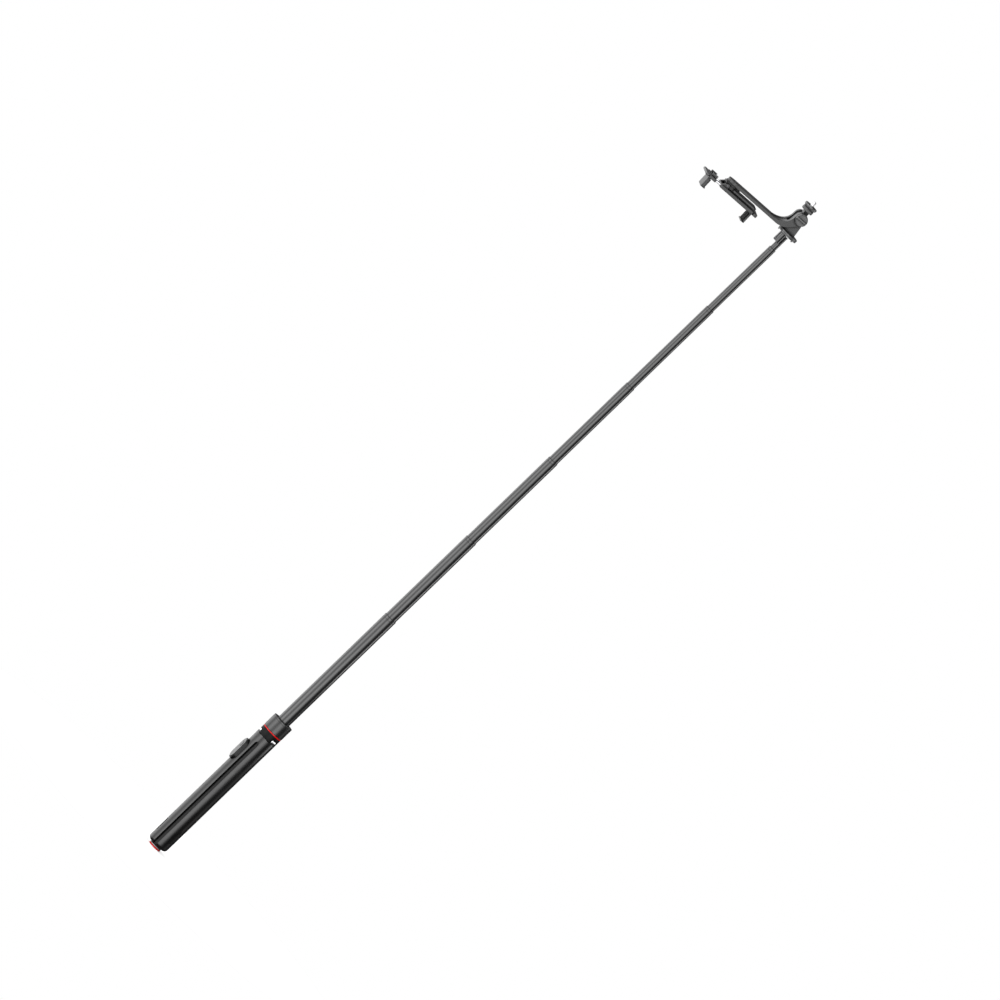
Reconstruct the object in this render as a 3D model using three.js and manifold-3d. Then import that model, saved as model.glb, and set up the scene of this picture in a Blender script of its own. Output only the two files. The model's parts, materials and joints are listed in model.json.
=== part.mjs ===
// A selfie stick: a round grip that opens into a tripod, a telescoping pole, and a phone clamp on a tilting arm.
// Millimetres, +Z up along the pole. The origin is the middle of the rubber foot's underside.
// The arm points along -X, and the tilt knob is on the -Y side.
import * as THREE from "three";
import { mergeVertices } from "three/addons/utils/BufferGeometryUtils.js";
import Module from "manifold-3d";

const wasm = await Module();
wasm.setup();

// ---- Driving dimensions -------------------------------------------------------------------------------

const SIDES = 24; // facets round a cylinder
const FINE_SIDES = 42; // facets round the grip and the collar
const GAP = 0.3; // between parts that touch
const RUNNING = 0.12; // between parts that slide or turn

const FOOT_CAP = { r: 11.8, top: 4.3, edge: 1.2, stemR: 4, stemTop: 9 };
const CORE = { rOut: 13.8, rIn: 12.4, bottom: 8.2, top: 294, plugR: 13.5, plugChamfer: 1.6, spigot: 6 };
const HUB = { rOut: 19.4, rIn: 14.2, bottom: 259.9, top: 272.6, notchWidth: 10.8, notchTop: 268.2 };
const ACCENT = { rOut: 19.3, bottom: 272.9, top: 274.9 };
const COLLAR = { rOut: 19.7, bottom: 275.2, top: 299.2, lip: 4.6, edge: 0.9 };

const LEG = {
  azimuths: { leg_left: 180, leg_front: -60, leg_rear: 60 },
  rOut: 19.5,
  rIn: 14.6,
  bottom: 5.3,
  top: 259.5,
  halfAngle: 59.4,
  endRound: 6.5,
  slotWidth: 8,
  slotTop: 247,
};
const LEG_PIN = {
  radius: 16.7,
  z: 263.9,
  barrelR: 2.7,
  barrelHalf: 5.1,
  endR: 1.1,
  endHalf: 6.5,
  relief: 5.05,
};
const LEG_TONGUE = { half: 5.1, back: 14.9, front: 18.9, root: 255 };
const FOOT_STRIP = { width: 3.4, from: 23.4, to: 51.4, proud: 0.25 };

// Each tube's outer radius, and the height that its top reaches with the pole pulled out.
const TUBE_RADII = [11.8, 10.75, 9.75, 8.7, 7.75, 6.75];
const TUBE_TOPS = [547.4, 733.7, 923.2, 1101.6, 1286.1, 1430.7];
const TUBE_OVERLAPS = [26, 40, 32, 38, 27, 44];
const TUBE_WALL = 0.55;
const TUBE_LIP = 3;
const GLIDE = { flange: 2.5, spigot: 4 };

const NECK = { r: 5.5, bottom: 1400, shoulder: 1458.2, top: 1459.4, capR: 5.9 };
const NECK_BUSH = { from: 1402, to: 1425 };
const SWIVEL = { x: -6.4, y: -3, r: 6.6, bottom: 1444.2, top: 1462.8, pinR: 2.5, pinBottom: 1451.5 };
const NECK_BOLT = { z: 1447.6, r: 1.5, headR: 2.6, headLength: 1.4 };

const PLATE = { r: 19.4, bottom: 1463.1, top: 1468, pegR: 1.2, pegCircle: 18, pegLength: 2 };
const PIVOT = { x: -5, z: 1499.5 };
const TILT_BASE = { half: 7, eyeR: 9, left: -12, right: 14.6, shoulder: -12, shoulderRight: 11.3 };
const POST = { x: -5.4, width: 9, top: 1514 };
const STUD = { x: -6, r: 3.1, bottom: 1505, top: 1535.2, tip: 0.8 };
const LOCK_NUT = { r: 10.7, bottom: 1514.3, top: 1520, teeth: 24, toothDepth: 0.5 };
const CUP = {
  rBottom: 9.6,
  rTop: 12.2,
  rInside: 10.6,
  bottom: 1520.3,
  flare: 1523.6,
  floor: 1524.4,
  top: 1526.6,
  edge: 0.3,
};
const CUP_PAD_TOP = 1526.2;

const ARM_DROOP = THREE.MathUtils.degToRad(-2.5);
// The arm and the clamp are measured from the pivot, with the arm level: x along the arm, z up.
const ARM = { width: 28, eyeR: 11, bottom: -31.7, top: -26.7, end: -122, slot: 7.4, slotDepth: -15 };
const CHANNEL = { end: -42, floor: -28.6, steep: -14, rise: -8.5, mouth: -4 };
const TILT_SCREW_R = 2.5;
const KNOB = { r: 10.6, from: 14.4, to: 19.4, barTo: 21.4, barHeight: 3, barLength: 19.6 };
const NUT = { r: 4.6, from: 9.6, to: 13.6 };

const SWIVEL_DISC = { r: 15.5, bottom: -34.4, top: -32 };
const RIVET = { r: 2, bottom: -37, top: -26.2 };
const FOLD_PIN = { x: -131.5, z: -38.7, r: 1.5, half: 14.2 };
const KNUCKLE = { half: 9.8, r: 3.4, left: -137, right: -117, bottom: -41, lip: 1.2 };
const LEAF = { from: -119, to: -67.5, half: 15, bottom: -39.5, top: -37 };
const BAR = { from: -141.1, to: -67.5, half: 17, bottom: -48.3, top: -42.5, corner: 2.5, edge: 0.6 };
const LUG = { inner: 10.2, outer: 14.2, r: 3.4 };
const ROD = { y: 10, z: -45.4, r: 1.5, from: -164, to: -103, boreTo: -84 };
const JAW = { half: 13, drop: -68.4, lip: 2.2, corner: 2.5, lipHalf: 11 };
const INNER_JAW = {
  inner: -71.1,
  outer: -68.2,
  lipTo: -75,
  flangeFrom: -80,
  flange: 1.2,
  under: -48.2,
  tabTo: -59.5,
  tabHalf: 17,
};
const OUTER_JAW = { inner: -160.4, outer: -165.6, lipTo: -156.7, floor: -47.8 };
const CARRIAGE = { from: -166.7, to: -152.5, half: 19 };
const PAD = { half: 11, thickness: 2.4, glue: 0.1, top: -50.2, bottom: -65.9 };
const PULL_TAB = { from: -175.3, to: -167, top: -42.8, bottom: -47.3, edge: 1.2 };
const SHOE = {
  from: -163.5,
  to: -152.5,
  half: 11,
  top: -37.9,
  slotHalf: 9.3,
  slotTop: -39.2,
  mouth: 6.2,
  floor: 1.2,
};

const REMOTE = {
  z: 216.7,
  length: 39.8,
  width: 18.8,
  floor: 17.3,
  split: 20,
  top: 23.2,
  wall: 1.2,
  buttonZ: 9,
  buttonR: 5,
  buttonTop: 23.7,
};
const CRADLE = { length: 43.5, width: 22.5, top: 22.3, pocket: 17, clearance: 0.3 };
const BATTERY = { r: 7.8, bottom: 18.7, top: 20.5, z: -8 };

// ---- Materials ----------------------------------------------------------------------------------------

function material(color, roughness, metalness) {
  return new THREE.MeshStandardMaterial({ color, roughness, metalness });
}

const gripPlastic = material(0x3c3e3f, 0.38, 0.1);
const blackPlastic = material(0x17181a, 0.5, 0);
const greyPlastic = material(0x5a5c5d, 0.42, 0.1);
const headPlastic = material(0x4c4e4f, 0.45, 0);
const paintedTube = material(0x55585a, 0.3, 0.6);
const steel = material(0xb9bcbe, 0.25, 1);
const chrome = material(0xe2e4e6, 0.12, 1);
const redPlastic = material(0xb02a24, 0.4, 0);
const redRubber = material(0xc04a34, 0.6, 0);
const rubber = material(0x1c1d1e, 0.85, 0);

// ---- Solids -------------------------------------------------------------------------------------------

// A closed three.js geometry as a solid that can be joined and cut.
function solid(geometry) {
  const bare = geometry.index ? geometry.toNonIndexed() : geometry.clone();
  bare.deleteAttribute("normal");
  bare.deleteAttribute("uv");
  const merged = mergeVertices(bare, 1e-4);
  const index = merged.index.array;
  const kept = [];
  for (let i = 0; i < index.length; i += 3) {
    const [a, b, c] = [index[i], index[i + 1], index[i + 2]];
    if (a !== b && b !== c && c !== a) kept.push(a, b, c);
  }
  const vertProperties = merged.attributes.position.array;
  const build = (triVerts) =>
    new wasm.Manifold(new wasm.Mesh({ numProp: 3, vertProperties, triVerts: new Uint32Array(triVerts) }));
  const made = build(kept);
  return made.volume() >= 0 ? made : build(kept.reverse());
}

function geometryOf(shape) {
  const mesh = shape.getMesh();
  const geometry = new THREE.BufferGeometry();
  geometry.setAttribute("position", new THREE.BufferAttribute(new Float32Array(mesh.vertProperties), 3));
  geometry.setIndex(new THREE.BufferAttribute(new Uint32Array(mesh.triVerts), 1));
  geometry.computeVertexNormals();
  return geometry;
}

// A solid of revolution about Z from [radius, height] points; the profile closes on itself or on the axis.
function lathe(points, { x = 0, y = 0, sides = SIDES } = {}) {
  const profile = points.map(([r, z]) => new THREE.Vector2(r, z));
  if (points[0][0] > 0) profile.push(profile[0].clone());
  const geometry = new THREE.LatheGeometry(profile, sides);
  geometry.rotateX(Math.PI / 2);
  return solid(geometry.translate(x, y, 0));
}

function cylinder(r, from, to, place = {}) {
  return lathe([[0, from], [r, from], [r, to], [0, to]], place);
}

function ring(rIn, rOut, from, to, place = {}) {
  return lathe([[rIn, from], [rOut, from], [rOut, to], [rIn, to]], place);
}

function box(x0, x1, y0, y1, z0, z1) {
  const geometry = new THREE.BoxGeometry(x1 - x0, y1 - y0, z1 - z0);
  return solid(geometry.translate((x0 + x1) / 2, (y0 + y1) / 2, (z0 + z1) / 2));
}

// A rod along Y, centred on the line x, z.
function crossRod(r, x, z, y0, y1, sides = 16) {
  const geometry = new THREE.CylinderGeometry(r, r, y1 - y0, sides);
  return solid(geometry.translate(x, (y0 + y1) / 2, z));
}

// A rod along X, centred on the line y, z.
function longRod(r, y, z, x0, x1, sides = 12) {
  const geometry = new THREE.CylinderGeometry(r, r, x1 - x0, sides);
  geometry.rotateZ(Math.PI / 2);
  return solid(geometry.translate((x0 + x1) / 2, y, z));
}

// An outline in the X-Z plane, given thickness from y0 to y1.
function sidePrism(shape, y0, y1, curveSegments = 8) {
  const geometry = new THREE.ExtrudeGeometry(shape, { depth: y1 - y0, bevelEnabled: false, curveSegments });
  geometry.rotateX(Math.PI / 2);
  return solid(geometry.translate(0, y1, 0));
}

// An outline in the X-Y plane, given height from z0 to z1, with a bevel round both faces.
function planPrism(shape, z0, z1, edge = 0, curveSegments = 4) {
  const settings = { depth: z1 - z0 - 2 * edge, curveSegments, bevelEnabled: edge > 0 };
  Object.assign(settings, { bevelThickness: edge, bevelSize: edge, bevelOffset: -edge, bevelSegments: 1 });
  const geometry = new THREE.ExtrudeGeometry(shape, settings);
  return solid(geometry.translate(0, 0, z0 + edge));
}

function polygon(points) {
  return new THREE.Shape(points.map(([x, y]) => new THREE.Vector2(x, y)));
}

function roundedRectangle(x0, x1, y0, y1, r) {
  const shape = new THREE.Shape();
  shape.moveTo(x0 + r, y0);
  shape.lineTo(x1 - r, y0);
  shape.absarc(x1 - r, y0 + r, r, -Math.PI / 2, 0);
  shape.lineTo(x1, y1 - r);
  shape.absarc(x1 - r, y1 - r, r, 0, Math.PI / 2);
  shape.lineTo(x0 + r, y1);
  shape.absarc(x0 + r, y1 - r, r, Math.PI / 2, Math.PI);
  shape.lineTo(x0, y0 + r);
  shape.absarc(x0 + r, y0 + r, r, Math.PI, 1.5 * Math.PI);
  return shape;
}

const object = new THREE.Group();

function piece(name, shape, finish, parent = object) {
  const mesh = new THREE.Mesh(geometryOf(shape), finish);
  mesh.name = name;
  parent.add(mesh);
  return mesh;
}

// ---- Centre column ------------------------------------------------------------------------------------

function addCentreColumn() {
  const { r, top, edge, stemR, stemTop } = FOOT_CAP;
  const foot = lathe([
    [0, 0],
    [r - edge, 0],
    [r, edge],
    [r, top],
    [stemR, top],
    [stemR, stemTop],
    [0, stemTop],
  ]);
  piece("foot_cap", foot, redRubber);

  const plugBottom = top + GAP;
  const plugTop = CORE.bottom - GAP;
  const plugSpigotR = CORE.rIn - RUNNING;
  const socketR = stemR + GAP;
  const socketTop = stemTop + GAP;
  piece(
    "core_plug",
    lathe([
      [socketR, plugBottom],
      [CORE.plugR - CORE.plugChamfer, plugBottom],
      [CORE.plugR, plugBottom + CORE.plugChamfer],
      [CORE.plugR, plugTop],
      [plugSpigotR, plugTop],
      [plugSpigotR, plugTop + CORE.spigot],
      [socketR + 1, plugTop + CORE.spigot],
      [socketR, socketTop],
    ]),
    blackPlastic,
  );
  piece("core_tube", ring(CORE.rIn, CORE.rOut, CORE.bottom, CORE.top), blackPlastic);
  const accent = ring(CORE.rOut + GAP, ACCENT.rOut, ACCENT.bottom, ACCENT.top, { sides: FINE_SIDES });
  piece("accent_ring", accent, redPlastic);

  const boreR = TUBE_RADII[0] + 0.4;
  const lipBottom = COLLAR.top - COLLAR.lip;
  const pocketR = CORE.rOut + GAP;
  piece(
    "collar",
    lathe(
      [
        [pocketR, COLLAR.bottom],
        [COLLAR.rOut, COLLAR.bottom],
        [COLLAR.rOut, COLLAR.top - COLLAR.edge],
        [COLLAR.rOut - COLLAR.edge, COLLAR.top],
        [boreR + COLLAR.edge, COLLAR.top],
        [boreR, COLLAR.top - COLLAR.edge],
        [boreR, lipBottom],
        [pocketR, lipBottom],
      ],
      { sides: FINE_SIDES },
    ),
    greyPlastic,
  );
}

// ---- Hub and legs -------------------------------------------------------------------------------------

function turned(shape, degrees) {
  const geometry = geometryOf(shape);
  geometry.rotateZ(THREE.MathUtils.degToRad(degrees));
  return solid(geometry);
}

function addHub() {
  let hub = ring(HUB.rIn, HUB.rOut, HUB.bottom, HUB.top, { sides: FINE_SIDES });
  const half = HUB.notchWidth / 2;
  const notch = box(HUB.rIn - 4, HUB.rOut + 4, -half, half, HUB.bottom - 5, HUB.notchTop);
  const boreHalf = LEG_PIN.endHalf + GAP;
  const bore = crossRod(LEG_PIN.endR + RUNNING, LEG_PIN.radius, LEG_PIN.z, -boreHalf, boreHalf);
  for (const azimuth of Object.values(LEG.azimuths)) {
    hub = hub.subtract(turned(notch, azimuth)).subtract(turned(bore, azimuth));
  }
  piece("leg_hub", hub, blackPlastic);
}

// The steel knuckle of a leg's hinge: its middle shows in the hub's notch, and its ends turn in the hub.
function legPin() {
  const ends = crossRod(LEG_PIN.endR, LEG_PIN.radius, LEG_PIN.z, -LEG_PIN.endHalf, LEG_PIN.endHalf);
  const { radius, z, barrelR, barrelHalf } = LEG_PIN;
  const barrel = crossRod(barrelR, radius, z, -barrelHalf, barrelHalf);
  return ends.add(barrel);
}

function sectorShape(rIn, rOut, halfAngle) {
  const half = THREE.MathUtils.degToRad(halfAngle);
  const shape = new THREE.Shape();
  shape.absarc(0, 0, rOut, -half, half, false);
  shape.absarc(0, 0, rIn, half, -half, true);
  return shape;
}

// The outer form of the grip: a cylinder whose lower edge is rounded.
function gripEnvelope() {
  const points = [[0, LEG.bottom]];
  const steps = 4;
  for (let i = 0; i <= steps; i += 1) {
    const angle = (i / steps) * (Math.PI / 2);
    const inset = LEG.endRound * (1 - Math.sin(angle));
    points.push([LEG.rOut - inset, LEG.bottom + LEG.endRound * (1 - Math.cos(angle))]);
  }
  points.push([LEG.rOut, LEG.top + 10], [0, LEG.top + 10]);
  return lathe(points, { sides: FINE_SIDES });
}

// A round-ended slot through the wall, in the Y-Z plane at the angle of +X.
function radialSlot(width, z0, z1, x0, x1) {
  const shape = roundedRectangle(z0, z1, -width / 2, width / 2, width / 2 - 0.01);
  const settings = { depth: x1 - x0, bevelEnabled: false, curveSegments: 4 };
  const geometry = new THREE.ExtrudeGeometry(shape, settings);
  geometry.rotateY(-Math.PI / 2);
  return solid(geometry.translate(x1, 0, 0));
}

// The leg's tongue, hollowed to cradle the steel knuckle from below.
function legTongue() {
  const { half, back, front, root } = LEG_TONGUE;
  const seat = crossRod(LEG_PIN.barrelR + RUNNING, LEG_PIN.radius, LEG_PIN.z, -half - 1, half + 1);
  return box(back, front, -half, half, root, LEG_PIN.z).subtract(seat);
}

function legShell(hasRemote) {
  const sector = new THREE.ExtrudeGeometry(sectorShape(LEG.rIn, LEG.rOut + 1, LEG.halfAngle), {
    depth: LEG.top - LEG.bottom,
    bevelEnabled: false,
    curveSegments: 12,
  });
  const envelope = gripEnvelope();
  let shell = solid(sector.translate(0, 0, LEG.bottom)).intersect(envelope);
  const betweenLegs = radialSlot(LEG.slotWidth, -LEG.slotTop, LEG.slotTop, LEG.rIn - 5, LEG.rOut + 5);
  shell = shell.subtract(turned(betweenLegs, 60)).subtract(turned(betweenLegs, -60));
  shell = shell.subtract(crossRod(LEG_PIN.relief, LEG_PIN.radius, LEG_PIN.z, -LEG.rOut, LEG.rOut, 20));
  shell = shell.add(legTongue());
  const { width, from, to } = FOOT_STRIP;
  shell = shell.subtract(radialSlot(width, from, to, LEG.rIn - 2, LEG.rOut + 2));
  if (hasRemote) {
    shell = shell.subtract(remoteOutline(CRADLE.clearance, CRADLE.pocket, LEG.rOut + 5));
  }
  return shell;
}

function footStrip() {
  const { width, from, to, proud } = FOOT_STRIP;
  const inset = GAP / 2;
  return radialSlot(width - GAP, from + inset, to - inset, LEG.rIn + 0.1, LEG.rOut + proud);
}

function addLegs() {
  for (const [name, azimuth] of Object.entries(LEG.azimuths)) {
    const group = new THREE.Group();
    group.rotation.z = THREE.MathUtils.degToRad(azimuth);
    object.add(group);
    const hasRemote = name === "leg_left";
    piece(name, legShell(hasRemote), gripPlastic, group);
    piece(name + "_pin", legPin(), steel, group);
    piece(name + "_strip", footStrip(), rubber, group);
    if (hasRemote) addRemote(group);
  }
}

// ---- Remote control -----------------------------------------------------------------------------------

// A round-ended block standing out along +X, the remote's outline grown by `grow`, from x0 to x1.
function remoteOutline(grow, x0, x1, length = REMOTE.length, width = REMOTE.width) {
  const halfLength = length / 2 + grow;
  return radialSlot(width + 2 * grow, REMOTE.z - halfLength, REMOTE.z + halfLength, x0, x1);
}

function addRemote(group) {
  const aroundGrip = cylinder(LEG.rOut + RUNNING, REMOTE.z - 40, REMOTE.z + 40, { sides: FINE_SIDES });
  const cradle = remoteOutline(0, LEG.rOut - 5, CRADLE.top, CRADLE.length, CRADLE.width)
    .subtract(remoteOutline(CRADLE.clearance, LEG.rOut - 6, CRADLE.top + 1))
    .subtract(aroundGrip);
  piece("remote_cradle", cradle, blackPlastic, group);

  const { floor, split, top, wall, buttonR, buttonTop, buttonZ } = REMOTE;
  const hollow = (x0, x1) => remoteOutline(-wall, x0, x1);
  const back = remoteOutline(0, floor, split).subtract(hollow(floor + wall, split + 1));
  piece("remote_back", back, blackPlastic, group);
  const z = REMOTE.z + buttonZ;
  const rodAt = (r, x0, x1) => longRod(r, 0, z, x0, x1, 20);
  const front = remoteOutline(0, split + RUNNING, top)
    .subtract(hollow(split, top - 1))
    .subtract(rodAt(buttonR + 0.2, top - 2, top + 1));
  piece("remote_front", front, greyPlastic, group);
  const buttonFlange = rodAt(buttonR + 0.8, top - 1.9, top - 1.1);
  piece("shutter_button", rodAt(buttonR, top - 1.2, buttonTop).add(buttonFlange), greyPlastic, group);
  const battery = longRod(BATTERY.r, 0, REMOTE.z + BATTERY.z, BATTERY.bottom, BATTERY.top, 20);
  piece("remote_battery", battery, steel, group);
}

// ---- Telescoping pole ---------------------------------------------------------------------------------

function addPole() {
  TUBE_RADII.forEach((rOut, i) => {
    const rIn = rOut - TUBE_WALL;
    const top = TUBE_TOPS[i];
    const below = i === 0 ? COLLAR.top : TUBE_TOPS[i - 1];
    const bottom = below - TUBE_OVERLAPS[i];
    const nextR = i + 1 < TUBE_RADII.length ? TUBE_RADII[i + 1] : NECK.r;
    const lipR = nextR + RUNNING;
    const tube = lathe([
      [rIn, bottom],
      [rOut, bottom],
      [rOut, top - 0.3],
      [rOut - 0.3, top],
      [lipR, top],
      [lipR, top - TUBE_LIP],
      [rIn, top - TUBE_LIP - (rIn - lipR)],
    ]);
    piece("tube_" + (i + 1), tube, paintedTube);

    const guideR = (i === 0 ? CORE.rIn : TUBE_RADII[i - 1] - TUBE_WALL) - RUNNING;
    const spigotR = rIn - RUNNING / 2;
    const seat = bottom - 0.05;
    const glide = lathe([
      [0, seat - GLIDE.flange],
      [guideR, seat - GLIDE.flange],
      [guideR, seat],
      [spigotR, seat],
      [spigotR, seat + GLIDE.spigot],
      [0, seat + GLIDE.spigot],
    ]);
    piece("tube_" + (i + 1) + "_glide", glide, blackPlastic);
  });
}

// ---- Neck and swivel ----------------------------------------------------------------------------------

function addNeck() {
  const at = { x: SWIVEL.x, y: SWIVEL.y };
  const rod = lathe([
    [0, NECK.bottom],
    [NECK.r, NECK.bottom],
    [NECK.r, NECK.shoulder],
    [NECK.capR, NECK.shoulder],
    [NECK.capR, NECK.top],
    [0, NECK.top],
  ]);
  const scallop = cylinder(SWIVEL.r + GAP, SWIVEL.bottom - GAP, NECK.top + 5, at);
  const towards = Math.atan2(-SWIVEL.y, -SWIVEL.x);
  const apart = Math.hypot(SWIVEL.x, SWIVEL.y);
  // The bolt runs level from the far side of the sleeve, through its axis and the rod's.
  const bolt = (r, from, to) => {
    const geometry = new THREE.CylinderGeometry(r, r, to - from, 16);
    geometry.rotateZ(Math.PI / 2);
    geometry.translate((from + to) / 2, 0, 0);
    geometry.rotateZ(towards);
    return solid(geometry.translate(SWIVEL.x, SWIVEL.y, NECK_BOLT.z));
  };
  const boltEnd = apart + NECK.r - 1;
  const boltHole = bolt(NECK_BOLT.r + RUNNING, -SWIVEL.r - 1, boltEnd + GAP);
  piece("neck_rod", rod.subtract(scallop).subtract(boltHole), paintedTube);
  const lastTubeBore = TUBE_RADII[5] - TUBE_WALL;
  const bush = ring(NECK.r + 0.05, lastTubeBore - 0.05, NECK_BUSH.from, NECK_BUSH.to);
  piece("neck_bush", bush, blackPlastic);

  const pinBore = cylinder(SWIVEL.pinR + RUNNING, SWIVEL.pinBottom - GAP, SWIVEL.top + 1, at);
  const sleeve = cylinder(SWIVEL.r, SWIVEL.bottom, SWIVEL.top, at).subtract(pinBore).subtract(boltHole);
  const headFrom = -SWIVEL.r - 0.2;
  const headSeat = bolt(NECK_BOLT.headR + RUNNING, -SWIVEL.r - 2, headFrom + NECK_BOLT.headLength + 0.1);
  piece("swivel_sleeve", sleeve.subtract(headSeat), paintedTube);
  const head = bolt(NECK_BOLT.headR, headFrom, headFrom + NECK_BOLT.headLength);
  piece("neck_bolt", bolt(NECK_BOLT.r, headFrom + 0.5, boltEnd).add(head), steel);
}

// ---- Head ---------------------------------------------------------------------------------------------

function addHeadPlate() {
  const pinHole = cylinder(SWIVEL.pinR + 0.1, PLATE.bottom - 1, PLATE.top - 1, { x: SWIVEL.x, y: SWIVEL.y });
  const edge = 0.5;
  let plate = lathe(
    [
      [0, PLATE.bottom],
      [PLATE.r - edge, PLATE.bottom],
      [PLATE.r, PLATE.bottom + edge],
      [PLATE.r, PLATE.top - edge],
      [PLATE.r - edge, PLATE.top],
      [0, PLATE.top],
    ],
    { sides: FINE_SIDES },
  );
  for (const azimuth of Object.values(LEG.azimuths)) {
    const angle = THREE.MathUtils.degToRad(azimuth);
    const place = { x: PLATE.pegCircle * Math.cos(angle), y: PLATE.pegCircle * Math.sin(angle), sides: 12 };
    plate = plate.add(cylinder(PLATE.pegR, PLATE.bottom - PLATE.pegLength, PLATE.bottom + 1, place));
  }
  piece("head_plate", plate.subtract(pinHole), greyPlastic);
  const pinTop = PLATE.top - 1 - GAP;
  piece("swivel_pin", cylinder(SWIVEL.pinR, SWIVEL.pinBottom, pinTop, { x: SWIVEL.x, y: SWIVEL.y }), steel);
}

function addTiltBase() {
  const bottom = PLATE.top + GAP - PIVOT.z;
  const { left, right, shoulder, shoulderRight, eyeR, half } = TILT_BASE;
  const body = polygon([
    [left, bottom],
    [right, bottom],
    [shoulderRight, shoulder],
    [eyeR, 0],
    [-eyeR, 0],
  ]);
  const postLeft = POST.x - PIVOT.x - POST.width / 2;
  const postTop = POST.top - PIVOT.z;
  const base = sidePrism(body, -half, half)
    .add(crossRod(eyeR, 0, 0, -half, half, 24))
    .add(box(postLeft, postLeft + POST.width, -half, half, 0, postTop))
    .subtract(crossRod(TILT_SCREW_R + RUNNING, 0, 0, -half - 1, half + 1));
  const placed = solid(geometryOf(base).translate(PIVOT.x, 0, PIVOT.z));
  const studHole = cylinder(STUD.r + 0.1, STUD.bottom - GAP, STUD.top, { x: STUD.x });
  piece("tilt_base", placed.subtract(studHole), headPlastic);
}

function addCameraScrew() {
  const at = { x: STUD.x };
  const { r, bottom, top, tip } = STUD;
  const stud = [
    [0, bottom],
    [r, bottom],
    [r, top - tip],
    [r - tip, top],
    [0, top],
  ];
  piece("camera_screw", lathe(stud, at), steel);

  const outline = new THREE.Shape();
  for (let i = 0; i < LOCK_NUT.teeth * 2; i += 1) {
    const angle = (i / LOCK_NUT.teeth) * Math.PI;
    const radius = LOCK_NUT.r - (i % 2 ? LOCK_NUT.toothDepth : 0);
    outline[i ? "lineTo" : "moveTo"](STUD.x + radius * Math.cos(angle), radius * Math.sin(angle));
  }
  const holeR = r + 0.2;
  const hole = cylinder(holeR, LOCK_NUT.bottom - 1, CUP.top + 1, at);
  piece("lock_nut", planPrism(outline, LOCK_NUT.bottom, LOCK_NUT.top).subtract(hole), greyPlastic);

  const cup = lathe(
    [
      [holeR, CUP.bottom],
      [CUP.rBottom, CUP.bottom],
      [CUP.rTop, CUP.flare],
      [CUP.rTop, CUP.top - CUP.edge],
      [CUP.rTop - CUP.edge, CUP.top],
      [CUP.rInside, CUP.top],
      [CUP.rInside, CUP.floor],
      [holeR, CUP.floor],
    ],
    at,
  );
  piece("lock_cup", cup, greyPlastic);
  piece("cup_pad", ring(holeR + GAP, CUP.rInside - GAP, CUP.floor + 0.1, CUP_PAD_TOP, at), rubber);
}

// ---- Arm ----------------------------------------------------------------------------------------------

// The arm's side: a round eye, a straight slope tangent to it, and a level bar, joined by curves.
function armSide() {
  const { eyeR, bottom, top, end } = ARM;
  const tangent = eyeR * Math.SQRT1_2;
  const far = end - ARM.width / 2 - 1;
  const shape = new THREE.Shape();
  shape.moveTo(tangent, -tangent);
  shape.lineTo(-8, -8 - 2 * tangent);
  shape.quadraticCurveTo(-16.1, bottom, -30, bottom);
  shape.lineTo(far, bottom);
  shape.lineTo(far, top);
  shape.lineTo(-38, top);
  shape.quadraticCurveTo(-12, -23.5, -eyeR, -2);
  shape.absarc(0, 0, eyeR, Math.PI, -Math.PI / 4, true);
  return shape;
}

// The space over the shallow channel that runs down the arm's curved back from the slot.
function channelSide() {
  const { end, floor, steep, rise, mouth } = CHANNEL;
  const shape = new THREE.Shape();
  shape.moveTo(end, ARM.top + 1);
  shape.lineTo(end, floor);
  shape.quadraticCurveTo(steep, floor + 2, rise, mouth);
  shape.lineTo(end, mouth);
  return shape;
}

// The arm from above: straight sides and a round far end.
function armPlan() {
  const half = ARM.width / 2;
  const shape = new THREE.Shape();
  shape.moveTo(ARM.eyeR + 1, -half);
  shape.lineTo(ARM.eyeR + 1, half);
  shape.lineTo(ARM.end, half);
  shape.absarc(ARM.end, 0, half, Math.PI / 2, 1.5 * Math.PI, false);
  return shape;
}

function addArm(group) {
  const half = ARM.width / 2;
  let arm = sidePrism(armSide(), -half, half, 9).intersect(planPrism(armPlan(), -50, 30, 0, 10));
  arm = arm
    .subtract(box(ARM.slotDepth, 40, -ARM.slot, ARM.slot, -60, 40))
    .subtract(sidePrism(channelSide(), -ARM.slot, ARM.slot))
    .subtract(crossRod(TILT_SCREW_R + RUNNING, 0, 0, -half - 1, half + 1))
    .subtract(crossRod(NUT.r + 0.2, 0, 0, NUT.from - 0.2, half + 1, 6))
    .subtract(cylinder(RIVET.r + RUNNING, ARM.bottom - 5, ARM.top + 5, { x: ARM.end }));
  piece("arm", arm, headPlastic, group);

  piece("tilt_screw", crossRod(TILT_SCREW_R, 0, 0, -KNOB.from - 3, NUT.to - 0.4), steel, group);
  const nut = crossRod(NUT.r, 0, 0, NUT.from, NUT.to, 6);
  piece("tilt_nut", nut.subtract(crossRod(TILT_SCREW_R + 0.1, 0, 0, NUT.from - 1, NUT.to + 1)), steel, group);

  const disc = crossRod(KNOB.r, 0, 0, -KNOB.to, -KNOB.from, 28);
  const halfBar = KNOB.barLength / 2;
  const bar = box(-halfBar, halfBar, -KNOB.barTo, -KNOB.to + 1, -KNOB.barHeight / 2, KNOB.barHeight / 2);
  const screwSeat = crossRod(TILT_SCREW_R + 0.1, 0, 0, -KNOB.from - 3.3, -KNOB.from + 1);
  piece("tilt_knob", disc.add(bar).subtract(screwSeat), headPlastic, group);
}

// ---- Phone clamp --------------------------------------------------------------------------------------

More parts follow.
